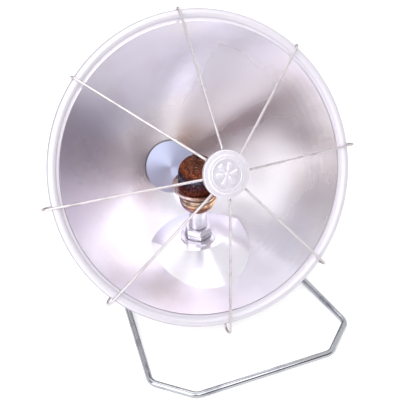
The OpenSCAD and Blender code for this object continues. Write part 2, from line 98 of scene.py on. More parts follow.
@dataclass(frozen=True)
class DishFrame:
    """Where the dish stands: rim centre and the tilt of its axis.

    Attributes:
        centre: Centre of the rim, in metres.
        tilt: Angle of the axis above the horizon, in degrees.
    """

    centre: Triple = (0.0, 0.01775, 0.146947)
    tilt: float = 32.0

    def turned(self) -> Matrix:
        """Matrix from object to dish coordinates, with z out of the mouth."""
        turn = Matrix.Rotation(math.radians(self.tilt - 90.0), 4, "X")
        return turn @ Matrix.Translation(-Vector(self.centre))

    def axis(self) -> Vector:
        """Unit vector out of the mouth."""
        tilt = math.radians(self.tilt)
        return Vector((0.0, -math.cos(tilt), math.sin(tilt)))


class Graph:
    """A material's node tree, with short calls for the nodes used here."""

    def __init__(self, name: str) -> None:
        """Starts a material that holds one Principled shader.

        Args:
            name: Name of the material.
        """
        self.material = bpy.data.materials.new(name)
        self.material.use_nodes = True
        self.tree = self.material.node_tree
        self.tree.nodes.clear()
        self.shader = self.add("ShaderNodeBsdfPrincipled")
        self.end = self.add("ShaderNodeOutputMaterial")
        self.tree.links.new(self.shader.outputs["BSDF"], self.end.inputs["Surface"])
        self.place = self.add("ShaderNodeTexCoord").outputs["Object"]

    def add(self, kind: str, **settings: object) -> bpy.types.Node:
        """Adds a node and sets its properties.

        Args:
            kind: Blender's name of the node type.
            settings: Properties of the node.

        Returns:
            The new node.
        """
        node = self.tree.nodes.new(kind)
        for key, value in settings.items():
            setattr(node, key, value)
        return node

    def put(self, socket: Socket, value: object) -> None:
        """Links a socket to an output, or sets a number or colour on it.

        Args:
            socket: Input to fill.
            value: An output socket, a number or a tuple.
        """
        if isinstance(value, bpy.types.NodeSocket):
            self.tree.links.new(value, socket)
        elif isinstance(value, tuple) and socket.type == "RGBA" and len(value) == 3:
            socket.default_value = (*value, 1.0)
        else:
            socket.default_value = value

    def set(self, **values: object) -> None:
        """Fills the shader's inputs; an underscore in a name stands for a space."""
        for key, value in values.items():
            self.put(self.shader.inputs[key.replace("_", " ")], value)

    def math(self, how: str, first: object, *more: object) -> Socket:
        """Arithmetic on numbers, done in turn where there are more than two.

        Args:
            how: Blender's name of the operation.
            first: First number or output.
            more: The other ones; none where the operation takes a single number.

        Returns:
            The result.
        """
        for number in more or (0.0,):
            node = self.add("ShaderNodeMath", operation=how)
            self.put(node.inputs[0], first)
            self.put(node.inputs[1], number)
            first = node.outputs[0]
        return first

    def vector(self, how: str, a: object, b: object = (0.0, 0.0, 0.0)) -> Socket:
        """One step of arithmetic on vectors.

        Args:
            how: Blender's name of the operation.
            a: First vector or output.
            b: Second vector or output.

        Returns:
            The result; a length or a dot product is a number.
        """
        node = self.add("ShaderNodeVectorMath", operation=how)
        self.put(node.inputs[0], a)
        self.put(node.inputs[1], b)
        return node.outputs["Value" if how in ("LENGTH", "DOT_PRODUCT") else "Vector"]

    def from_axis(self, vector: Socket) -> Socket:
        """Distance of a point from the z axis."""
        return self.vector("LENGTH", self.vector("MULTIPLY", vector, (1.0, 1.0, 0.0)))

    def mapped(self, matrix: Matrix) -> Socket:
        """Object coordinates carried through a rigid turn and shift.

        Args:
            matrix: From object coordinates to the wanted ones.

        Returns:
            The coordinates in the new frame.
        """
        node = self.add("ShaderNodeMapping", vector_type="POINT")
        self.put(node.inputs["Vector"], self.place)
        node.inputs["Location"].default_value = matrix.to_translation()
        node.inputs["Rotation"].default_value = matrix.to_euler("XYZ")
        return node.outputs[0]

    def split(self, vector: Socket) -> tuple[Socket, Socket, Socket]:
        """Takes a vector apart.

        Args:
            vector: The vector.

        Returns:
            Its three numbers.
        """
        node = self.add("ShaderNodeSeparateXYZ")
        self.put(node.inputs[0], vector)
        return node.outputs[0], node.outputs[1], node.outputs[2]

    def noise(self, at: Socket, scale: float, detail: float = 2.0) -> Socket:
        """Soft noise from 0 to 1 over a vector.

        Args:
            at: Coordinates in metres.
            scale: Spots per metre.
            detail: Octaves.

        Returns:
            The noise's value.
        """
        node = self.add("ShaderNodeTexNoise")
        self.put(node.inputs["Vector"], at)
        node.inputs["Scale"].default_value = scale
        node.inputs["Detail"].default_value = detail
        return node.outputs["Fac"]

    def lines(self, at: Socket, scale: float, detail: float = 2.0) -> Socket:
        """Noise along one number, such as the turning lines along a radius.

        Args:
            at: The number, in metres.
            scale: Lines per metre.
            detail: Octaves.

        Returns:
            The noise's value, from 0 to 1.
        """
        node = self.add("ShaderNodeTexNoise", noise_dimensions="1D")
        self.put(node.inputs["W"], at)
        node.inputs["Scale"].default_value = scale
        node.inputs["Detail"].default_value = detail
        return node.outputs["Fac"]

    def span(
        self, value: Socket, low: float, high: float, to_low: float = 0.0, to_high: float = 1.0
    ) -> Socket:
        """Carries a range onto another one, with smooth ends.

        Args:
            value: Number to carry over.
            low: Where the range starts.
            high: Where the range ends.
            to_low: Result at its start.
            to_high: Result at its end.

        Returns:
            The number in the new range.
        """
        node = self.add("ShaderNodeMapRange", interpolation_type="SMOOTHSTEP")
        keys = ("Value", "From Min", "From Max", "To Min", "To Max")
        for key, number in zip(keys, (value, low, high, to_low, to_high)):
            self.put(node.inputs[key], number)
        return node.outputs[0]

    def ramp(self, value: Socket, stops: Sequence[tuple[float, Colour]]) -> Socket:
        """Colour along a number from 0 to 1.

        Args:
            value: Place on the ramp.
            stops: Places and their colours, in rising order.

        Returns:
            The colour.
        """
        node = self.add("ShaderNodeValToRGB")
        marks = node.color_ramp.elements
        while len(marks) < len(stops):
            marks.new(0.5)
        for mark, (place, colour) in zip(marks, stops):
            mark.position = place
            mark.color = (*colour, 1.0)
        self.put(node.inputs[0], value)
        return node.outputs[0]

    def mix(self, share: object, a: object, b: object) -> Socket:
        """Two colours mixed.

        Args:
            share: How much of the second one.
            a: First colour.
            b: Second colour.

        Returns:
            The mixed colour.
        """
        node = self.add("ShaderNodeMix", data_type="RGBA")
        for place, value in ((MIX_SHARE, share), (MIX_FIRST, a), (MIX_SECOND, b)):
            self.put(node.inputs[place], value)
        return node.outputs[MIX_RESULT]

    def lay(self, under: object, over: Colour, mask: Socket, *shares: object) -> Socket:
        """A colour laid over another one, by the product of a mask and of shares."""
        return self.mix(self.math("MULTIPLY", mask, *shares), under, over)

    def bump(self, height: Socket, depth: float, strength: float = 0.5) -> Socket:
        """A normal raised by a height map.

        Args:
            height: Height from 0 to 1.
            depth: Metres that 1 stands for.
            strength: Share of the effect.

        Returns:
            The bumped normal.
        """
        node = self.add("ShaderNodeBump")
        node.inputs["Distance"].default_value = depth
        node.inputs["Strength"].default_value = strength
        self.put(node.inputs["Height"], height)
        return node.outputs[0]


@dataclass(frozen=True)
class Mottle:
    """Noise that lets a second colour through and changes the roughness.

    Attributes:
        scale: Spots per metre.
        shows: Noise values between which the second colour comes through.
        share: How much of it shows.
        dulls: Noise values between which the roughness changes.
        rough: Change of roughness at these two values.
        detail: Octaves of the noise.
    """

    scale: float
    shows: Range = (0.48, 0.72)
    share: float = 1.0
    dulls: Range = (0.35, 0.7)
    rough: Range = (-0.03, 0.09)
    detail: float = 4.0

    def noise(self, g: Graph, at: Socket) -> Socket:
        """Its noise over coordinates."""
        return g.noise(at, self.scale, self.detail)

    def lines(self, g: Graph, along: Socket) -> Socket:
        """Its noise along one number."""
        return g.lines(along, self.scale, self.detail)

    def tint(self, g: Graph, noise: Socket, under: object, over: Colour) -> Socket:
        """The first colour with the second one let through."""
        return g.lay(under, over, g.span(noise, *self.shows), self.share)

    def roughness(self, g: Graph, noise: Socket) -> Socket:
        """Change of roughness that the noise brings."""
        return g.span(noise, *self.dulls, *self.rough)


@dataclass(frozen=True)
class Fan:
    """A soft-edged sector of a ring on the dish.

    Attributes:
        angle: Direction of its middle about the axis, in degrees from the right towards the top.
        width: Half its width, in degrees.
        inner: Radius at which it has half its strength, nearer the axis.
        outer: The same, nearer the rim.
        share: Strength in its middle.
        blur: Half the width of its soft edges along the radius.
        full: Cosine of the angle to its middle at which it has its whole strength.
    """

    angle: float
    width: float
    inner: float
    outer: float
    share: float
    blur: float = 0.016
    full: float = 0.99

    def share_at(self, g: Graph, flat: tuple[Socket, Socket, Socket]) -> Socket:
        """Strength at each point of the dish.

        The cosine of the angle to the fan's middle is compared with that of its
        half width, and the radius with its inner and outer one.

        Args:
            g: Node tree to work in.
            flat: Two coordinates across the dish and the distance from the axis.

        Returns:
            The strength, from 0 to 1.
        """
        x, y, radius = flat
        turn = math.radians(self.angle)
        along = g.math("ADD", g.math("MULTIPLY", x, math.cos(turn)), g.math("MULTIPLY", y, math.sin(turn)))
        facing = g.math("DIVIDE", along, g.math("ADD", radius, OFF_AXIS))
        across = g.span(facing, math.cos(math.radians(self.width)), self.full)
        near = g.span(radius, self.inner - self.blur, self.inner + self.blur)
        far = g.span(radius, self.outer + self.blur, self.outer - self.blur)
        return g.math("MULTIPLY", across, self.share, near, far)


@dataclass(frozen=True)
class SpunAluminium:
    """Sheet spun over a form on a lathe, left satin, with its turning lines, and with painted reflections and
    shade in its colour.

    Attributes:
        cool: Colour of most of the sheet.
        warm: Colour of the heated and handled parts.
        shade: Colour of the dull patches and bands.
        clouds: Where the warm colour shows.
        patches: Where the dull patches are.
        bands: Where the dull bands are, along the radius.
        turning: Turning lines along the radius, which only change the roughness.
        groove: Depth of a turning line.
        groove_share: Share of its effect.
        roughness: Mean roughness.
        stretch: How much reflections stretch away from the middle.
        spot: Colour of the duller flat spot at the middle, with a painted bluish reflection.
        spot_radius: Radius of the flat spot.
        spot_blur: Half the width of its soft edge.
        spot_faces: Heights along the axis between which its outer face gives way to its inner one.
        spot_rough: How much rougher the spot is.
        crease: Colour of the painted shade in the crease round the upper left of the flat spot.
        crease_out: How far outside the spot's edge the crease runs.
        crease_edge: Distances from its middle line between which the painted shade comes in.
        crease_side: Distances up plus left of the axis between which the painted shade comes in.
        crease_share: How much the painted shade covers.
        bead: Colour of the matt rolled bead and its land.
        land: Radii between which the satin wall gives way to the land.
        land_rough: How much rougher land and bead are.
        land_metal: How metallic they are.
        edge: Colour of the painted shade along the outermost edge of the bead.
        edge_at: Radii between which that edge comes in.
        edge_share: How much its colour covers.
        dark_reflection: Colour of the painted dark reflections.
        dark_reflection_fans: Where the painted dark reflections lie, in fans about the axis.
        bright_reflection: Colour of the painted bright reflections.
        bright_reflection_fans: Where the painted bright reflections lie, in fans about the axis.
        brightened_rough: How much rougher the sheet is there.
    """

    cool: Colour = (0.81, 0.79, 0.86)
    warm: Colour = (0.84, 0.80, 0.81)
    shade: Colour = (0.66, 0.60, 0.67)
    clouds: Mottle = Mottle(11.0, (0.42, 0.66), 1.0, (0.3, 0.7), (-0.02, 0.04), 3.0)
    patches: Mottle = Mottle(23.0, (0.5, 0.7), 0.25, detail=2.0)
    bands: Mottle = Mottle(60.0, (0.45, 0.65), 0.08, detail=2.0)
    turning: Mottle = Mottle(2300.0, dulls=(0.3, 0.7), rough=(-0.004, 0.004), detail=3.0)
    groove: float = 0.00000015
    groove_share: float = 0.6
    roughness: float = 0.24
    stretch: float = 0.75
    # Bluish painted reflection on the flat spot
    spot: Colour = (0.64, 0.68, 0.90)
    spot_radius: float = 0.028
    spot_blur: float = 0.0004
    spot_faces: Range = (-0.1126, -0.1123)
    spot_rough: float = 0.2
    # Painted shade in the crease round the upper left of the flat spot
    crease: Colour = (0.20, 0.18, 0.22)
    crease_out: float = 0.0008
    crease_edge: Range = (0.0013, 0.0005)
    crease_side: Range = (0.006, 0.024)
    crease_share: float = 0.85
    bead: Colour = (0.77, 0.74, 0.81)
    land: Range = (0.1432, 0.1444)
    land_rough: float = 0.30
    land_metal: float = 0.45
    # Painted shade: a dark line along the bead's outer edge
    edge: Colour = (0.42, 0.40, 0.44)
    edge_at: Range = (0.1537, 0.1547)
    edge_share: float = 0.8
    # Painted dark reflections: their colour and the fans where they lie
    dark_reflection: Colour = (0.46, 0.39, 0.43)
    dark_reflection_fans: tuple[Fan, ...] = (
        Fan(170.0, 36.0, 0.02, 0.16, 0.75),
        Fan(165.0, 95.0, 0.02, 0.057, 0.8),
        Fan(17.0, 17.0, 0.04, 0.135, 0.45),
        Fan(5.0, 15.0, 0.082, 0.140, 0.45),
        Fan(256.0, 28.0, 0.122, 0.160, 0.45),
    )
    # Painted bright reflections: their colour and the fans where they lie, which are also rougher
    bright_reflection: Colour = (0.97, 0.95, 1.0)
    bright_reflection_fans: tuple[Fan, ...] = (
        Fan(-20.0, 42.0, 0.056, 0.110, 0.9),
        Fan(48.0, 26.0, 0.050, 0.125, 0.6),
    )
    brightened_rough: float = 0.15

    def painted_crease_shade(self, g: Graph, flat: tuple[Socket, Socket, Socket]) -> Socket:
        """Where painted shade lies in the crease: near its circle and only at the upper left.

        Args:
            g: Node tree to work in.
            flat: Two coordinates across the dish and the distance from the axis.

        Returns:
            The painted shade's mask, from 0 to 1.
        """
        x, y, radius = flat
        off = g.math("ABSOLUTE", g.math("SUBTRACT", radius, self.spot_radius + self.crease_out))
        side = g.span(g.math("SUBTRACT", y, x), *self.crease_side)
        return g.math("MULTIPLY", g.span(off, *self.crease_edge), side)

    def outward(self, g: Graph, where: DishFrame) -> Socket:
        """Direction away from the axis: the axis crossed twice with the way to the point.

        Args:
            g: Node tree to work in.
            where: The dish's place and tilt.

        Returns:
            The direction, in world coordinates.
        """
        axis = tuple(where.axis())
        away = g.vector("SUBTRACT", g.place, where.centre)
        outward = g.vector("CROSS_PRODUCT", g.vector("CROSS_PRODUCT", axis, away), axis)
        frames = {"vector_type": "VECTOR", "convert_from": "OBJECT", "convert_to": "WORLD"}
        turn = g.add("ShaderNodeVectorTransform", **frames)
        g.put(turn.inputs[0], outward)
        return turn.outputs[0]

    def make(self, where: DishFrame) -> bpy.types.Material:
        """Builds the material in the dish's own coordinates.

        Args:
            where: The dish's place and tilt.

        Returns:
            The finished material.
        """
        g = Graph(Slot.DISH.value)
        local = g.mapped(where.turned())
        x, y, height = g.split(local)
        radius = g.from_axis(local)
        flat = (x, y, radius)
        spot = g.math(
            "MULTIPLY",
            g.span(radius, self.spot_radius + self.spot_blur, self.spot_radius - self.spot_blur),
            g.span(height, *self.spot_faces),
        )
        land = g.span(radius, *self.land)
        darkened = g.math("MAXIMUM", *(fan.share_at(g, flat) for fan in self.dark_reflection_fans))
        brightened = g.math("MAXIMUM", *(fan.share_at(g, flat) for fan in self.bright_reflection_fans))
        turning = self.turning.lines(g, radius)
        clouds = self.clouds.noise(g, local)
        tint = self.clouds.tint(g, clouds, self.cool, self.warm)
        tint = self.patches.tint(g, self.patches.noise(g, local), tint, self.shade)
        tint = self.bands.tint(g, self.bands.lines(g, radius), tint, self.shade)
        # The flat spot's bluish colour is a painted reflection; the spot is also rougher
        tint = g.mix(spot, tint, self.spot)
        # Painted dark reflections in fans, kept off the flat spot
        tint = g.lay(tint, self.dark_reflection, darkened, g.math("SUBTRACT", 1.0, spot))
        # Painted bright reflections in fans
        tint = g.mix(brightened, tint, self.bright_reflection)
        # Painted shade in the crease at the upper left of the flat spot
        tint = g.lay(tint, self.crease, self.painted_crease_shade(g, flat), self.crease_share)
        tint = g.mix(land, tint, self.bead)
        # Painted shade: a dark line along the bead's outer edge
        tint = g.lay(tint, self.edge, g.span(radius, *self.edge_at), self.edge_share)
        rougher = ((spot, self.spot_rough), (land, self.land_rough), (brightened, self.brightened_rough))
        changes = [g.math("MULTIPLY", mask, change) for mask, change in rougher]
        changes += [self.turning.roughness(g, turning), self.clouds.roughness(g, clouds)]
        g.set(Base_Color=tint, Roughness=g.math("ADD", self.roughness, *changes))
        g.set(Metallic=g.span(land, 0.0, 1.0, 1.0, self.land_metal))
        g.set(Anisotropic=g.span(land, 0.0, 1.0, self.stretch, 0.0), Tangent=self.outward(g, where))
        g.set(Normal=g.bump(turning, self.groove, self.groove_share))
        return g.material


@dataclass(frozen=True)
class Plated:
    """A bright metal coat over steel or brass, with wear and fine grain.

    Attributes:
        name: Name of the material.
        colour: Colour of unworn metal.
        worn: Colour where it is dull or marked.
        roughness: Mean roughness.
        wear: Where it is dull.
        grains: Grains to each spot of wear.
        grain_range: Noise values between which the grain changes the roughness.
        grain_rough: Change of roughness at these two values.
        depth: Height of the grain.
    """

    name: str
    colour: Colour
    worn: Colour
    roughness: float
    wear: Mottle
    grains: float = 22.0
    grain_range: Range = (0.3, 0.7)
    grain_rough: Range = (-0.02, 0.03)
    depth: float = 0.00001

    def make(self) -> bpy.types.Material:
        """Builds the material.

        Returns:
            The finished material.
        """
        g = Graph(self.name)
        wear = self.wear.noise(g, g.place)
        grain = g.noise(g.place, self.wear.scale * self.grains)
        fine = g.span(grain, *self.grain_range, *self.grain_rough)
        rough = g.math("ADD", self.wear.roughness(g, wear), fine, self.roughness)
        g.set(Base_Color=self.wear.tint(g, wear, self.colour, self.worn), Metallic=1.0, Roughness=rough)
        g.set(Normal=g.bump(grain, self.depth))
        return g.material


@dataclass(frozen=True)
class Pressed:
    """Plated sheet with a plain pressed rosette inside a fine ring.

    Attributes:
        name: Name of the material.
        colour: Colour of unworn metal.
        worn: Colour where it is dull, also laid on the lower ground of the relief.
        wear: Where it is dull.
        roughness: Mean roughness.
        metal: How metallic the coat is.
        petals: Petals of the rosette.
        flank: Cosines between which a petal's flank rises.
        reach: Radius of the rosette.
        tip: Shares of the reach between which a petal's tip rises.
        root: Shares of the reach between which its root rises.
        button: Shares of the reach between which the button in the middle rises.
        ring: Radius of the fine ring round the rosette.
        line: Distances from that radius between which the ring rises.
        low: Heights of the relief between which the lower ground takes the worn colour.
        field: Share of the ring's radius inside which the lower ground takes it fully.
        depth: Height of the relief.
        depth_share: Share of its effect.
    """

    name: str
    colour: Colour = (0.90, 0.87, 0.94)
    worn: Colour = (0.80, 0.77, 0.86)
    wear: Mottle = Mottle(160.0, (0.45, 0.70), rough=(-0.04, 0.10))
    roughness: float = 0.36
    metal: float = 0.55
    petals: int = 6
    flank: Range = (-0.3, 0.6)
    reach: float = 0.0115
    tip: Range = (1.0, 0.85)
    root: Range = (0.2, 0.35)
    button: Range = (0.22, 0.12)
    ring: float = 0.0145
    line: Range = (0.0007, 0.0002)
    low: Range = (0.9, 0.3)
    field: float = 0.95
    depth: float = 0.0005
    depth_share: float = 0.8

    def rise(self, g: Graph, radius: Socket, shares: Range) -> Socket:
        """Height that rises between two shares of the rosette's reach."""
        return g.span(radius, self.reach * shares[0], self.reach * shares[1])

    def relief(self, g: Graph, local: Socket) -> Socket:
        """The highest one of petals, button and ring.

        A petal's height is a step of the cosine of so many times the angle, times
        a step of the radius at its tip and one at its root.

        Args:
            g: Node tree to work in.
            local: Coordinates about the part's own middle and axis.

        Returns:
            The height, from 0 to 1.
        """
        x, y, _ = g.split(local)
        radius = g.from_axis(local)
        turn = g.math("MULTIPLY", g.math("ARCTAN2", y, x), float(self.petals))
        steps = (self.rise(g, radius, self.tip), self.rise(g, radius, self.root))
        petal = g.math("MULTIPLY", g.span(g.math("COSINE", turn), *self.flank), *steps)
        line = g.span(g.math("ABSOLUTE", g.math("SUBTRACT", radius, self.ring)), *self.line)
        return g.math("MAXIMUM", petal, line, self.rise(g, radius, self.button))

    def make(self, where: DishFrame, middle: Vector) -> bpy.types.Material:
        """Builds the material about the pressed part's own middle.

        Args:
            where: The dish's place and tilt.
            middle: The part's middle.

        Returns:
            The finished material.
        """
        g = Graph(self.name)
        local = g.mapped(DishFrame(tuple(middle), where.tilt).turned())
        relief = self.relief(g, local)
        wear = self.wear.noise(g, g.place)
        tint = self.wear.tint(g, wear, self.colour, self.worn)
        # The lower ground inside the ring takes the worn colour, darker than the raised rosette
        inside = g.span(g.from_axis(local), self.ring, self.ring * self.field)
        tint = g.lay(tint, self.worn, g.span(relief, *self.low), inside)
        rough = g.math("ADD", self.wear.roughness(g, wear), self.roughness)
        g.set(Base_Color=tint, Metallic=self.metal, Roughness=rough)
        g.set(Normal=g.bump(relief, self.depth, self.depth_share))
        return g.material


@dataclass(frozen=True)
class HeatTinted:
    """Steel coloured by the flame, in bands by height, with specks of soot; painted glints and painted
    reflections at the outline where given.

    Attributes:
        name: Name of the material.
        stops: Places on the ramp and their colours, from foot to top.
        roughness: Mean roughness.
        ragged: Height by which the bands wander.
        wander: Bends of the bands per metre.
        rings: Fine rings per metre of height.
        ring_depth: Depth of a ring.
        soot: Colour of the soot.
        specks: Where the specks of soot are.
        pale: Colour of the pale specks, painted glints of the woven threads.
        gleams: Where the painted glints are, if there are any.
        left: Colour of the painted reflection along the outline at the left, if there is one.
        right: Colour of the painted reflection along the outline at the right.
        blend: Blender's blend value for the turn away from the eye.
        grazing: Turns away from the eye, 1 at the outline, between which the painted reflection comes in.
        middle: Where the left edge colour gives way to the right one.
        blur: Half the width over which it does.
    """

    name: str
    stops: tuple[tuple[float, Colour], ...]
    roughness: float
    ragged: float
    wander: float = 42.0
    rings: float = 700.0
    ring_depth: float = 0.00002
    soot: Colour = (0.04, 0.02, 0.025)
    specks: Mottle = Mottle(160.0, (0.46, 0.66), 0.6, (0.4, 0.7), (-0.05, 0.12))
    pale: Colour = (0.80, 0.56, 0.44)
    gleams: Mottle | None = None
    left: Colour | None = None
    right: Colour | None = None
    blend: float = 0.35
    grazing: Range = (0.25, 0.8)
    middle: float = 0.0
    blur: float = 0.012

    def make(self, low: float, high: float) -> bpy.types.Material:
        """Builds the material.

        Args:
            low: Height of the part's foot.
            high: Height of its top.

        Returns:
            The finished material.
        """
        g = Graph(self.name)
        x, _, z = g.split(g.place)
        wander = g.math("SUBTRACT", g.noise(g.place, self.wander, detail=3.0), NOISE_MEAN)
        height = g.math("ADD", z, g.math("MULTIPLY", wander, self.ragged))
        share = g.math("DIVIDE", g.math("SUBTRACT", height, low), high - low)
        soot = self.specks.noise(g, g.place)
        tint = self.specks.tint(g, soot, g.ramp(share, self.stops), self.soot)
        # Pale specks: painted glints of the woven threads
        if self.gleams:
            tint = self.gleams.tint(g, self.gleams.noise(g, g.place), tint, self.pale)
        # Painted reflection along the outline, in one colour at the left and another at the right
        if self.left and self.right:
            facing = g.add("ShaderNodeLayerWeight")
            facing.inputs["Blend"].default_value = self.blend
            edge = g.mix(g.span(x, self.middle - self.blur, self.middle + self.blur), self.left, self.right)
            tint = g.mix(g.span(facing.outputs["Facing"], *self.grazing), tint, edge)
        rough = g.math("ADD", self.specks.roughness(g, soot), self.roughness)
        g.set(Base_Color=tint, Metallic=1.0, Roughness=rough)
        g.set(Normal=g.bump(g.lines(z, self.rings), self.ring_depth))
        return g.material


def smooth_mesh(name: str, points: np.ndarray, faces: np.ndarray) -> bpy.types.Object:
    """Makes an object from arrays of points and four-sided faces, shaded smooth.

    Args:
        name: Name of the object.
        points: Points, one row each, in metres.
        faces: Rows of four point numbers, outward faces counter-clockwise.

    Returns:
        The object, linked to the scene, at the origin.
    """
    mesh = bpy.data.meshes.new(name)
    mesh.vertices.add(len(points))
    mesh.vertices.foreach_set("co", points.astype(np.float32).ravel())
    mesh.loops.add(faces.size)
    mesh.loops.foreach_set("vertex_index", faces.astype(np.int32).ravel())
    mesh.polygons.add(len(faces))
    mesh.polygons.foreach_set("loop_start", np.arange(0, faces.size, 4, dtype=np.int32))
    mesh.update(calc_edges=True)
    mesh.shade_smooth()
    made = bpy.data.objects.new(name, mesh)
    bpy.context.scene.collection.objects.link(made)
    return made


def flat_board(name: str, middle: np.ndarray, right: np.ndarray, up: np.ndarray) -> bpy.types.Object:
    """Makes a flat board: its middle plus and minus half of its two sides.

    Args:
        name: Name of the object.
        middle: Its middle.
        right: Its lower side, as a vector.
        up: Its left side, as a vector.

    Returns:
        The board, which faces the way of the sides' cross product.
    """
    spread = np.array([(-0.5, -0.5), (0.5, -0.5), (0.5, 0.5), (-0.5, 0.5)])
    corners = middle + spread[:, :1] * right + spread[:, 1:] * up
    return smooth_mesh(name, corners, np.array([[0, 1, 2, 3]]))


def dressed(made: bpy.types.Object, finish: bpy.types.Material, body: Body) -> None:
    """Gives a new piece its finish, body and slot.

    Args:
        made: The new piece.
        finish: Its material.
        body: Body that it moves with.
    """
    made.data.materials.append(finish)
    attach(made, body.value)
    log.info("piece %s: %d faces on %s", made.name, len(made.data.polygons), body.value)


def repaint(nodes: Nodes, names: Sequence[str], finish: bpy.types.Material) -> None:
    """Puts a finish on nodes of the exact model.

    Args:
        nodes: All nodes by name.
        names: The ones to paint.
        finish: Their new material.
    """
    for name in names:
        node = nodes[name]
        if not node.material_slots:
            node.data.materials.append(finish)
        for item in node.material_slots:
            item.material = finish
        log.info("finish %s on %s", finish.name, name)


@dataclass(frozen=True)
class Reflector:
    """The spun dish.

    Attributes:
        where: Its place and tilt.
        finish: Its finish.
    """

    where: DishFrame = DishFrame()
    finish: SpunAluminium = SpunAluminium()

    def dress(self, nodes: Nodes) -> None:
        """Paints the dish."""
        repaint(nodes, ["reflector"], self.finish.make(self.where))


@dataclass(frozen=True)
class Guard:
    """The wire guard with the cap over its hub.

    Attributes:
        wires: Number of wires.
        wire: Finish of the wires.
        cap: Finish of the cap.
    """

    wires: int = 8
    wire: Plated = Plated(Slot.WIRE.value, (0.60, 0.56, 0.58), (0.46, 0.42, 0.45), 0.27, Mottle(90.0))
    cap: Pressed = Pressed(Slot.CAP.value)

    def dress(self, nodes: Nodes, where: DishFrame) -> None:
        """Paints the wires and the cap.

        Args:
            nodes: All nodes by name.
            where: The dish's place and tilt.
        """
        repaint(nodes, [f"guard_wire_{k}" for k in range(1, self.wires + 1)], self.wire.make())
        low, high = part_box("guard_cap")
        repaint(nodes, ["guard_cap"], self.cap.make(where, (low + high) / 2.0))


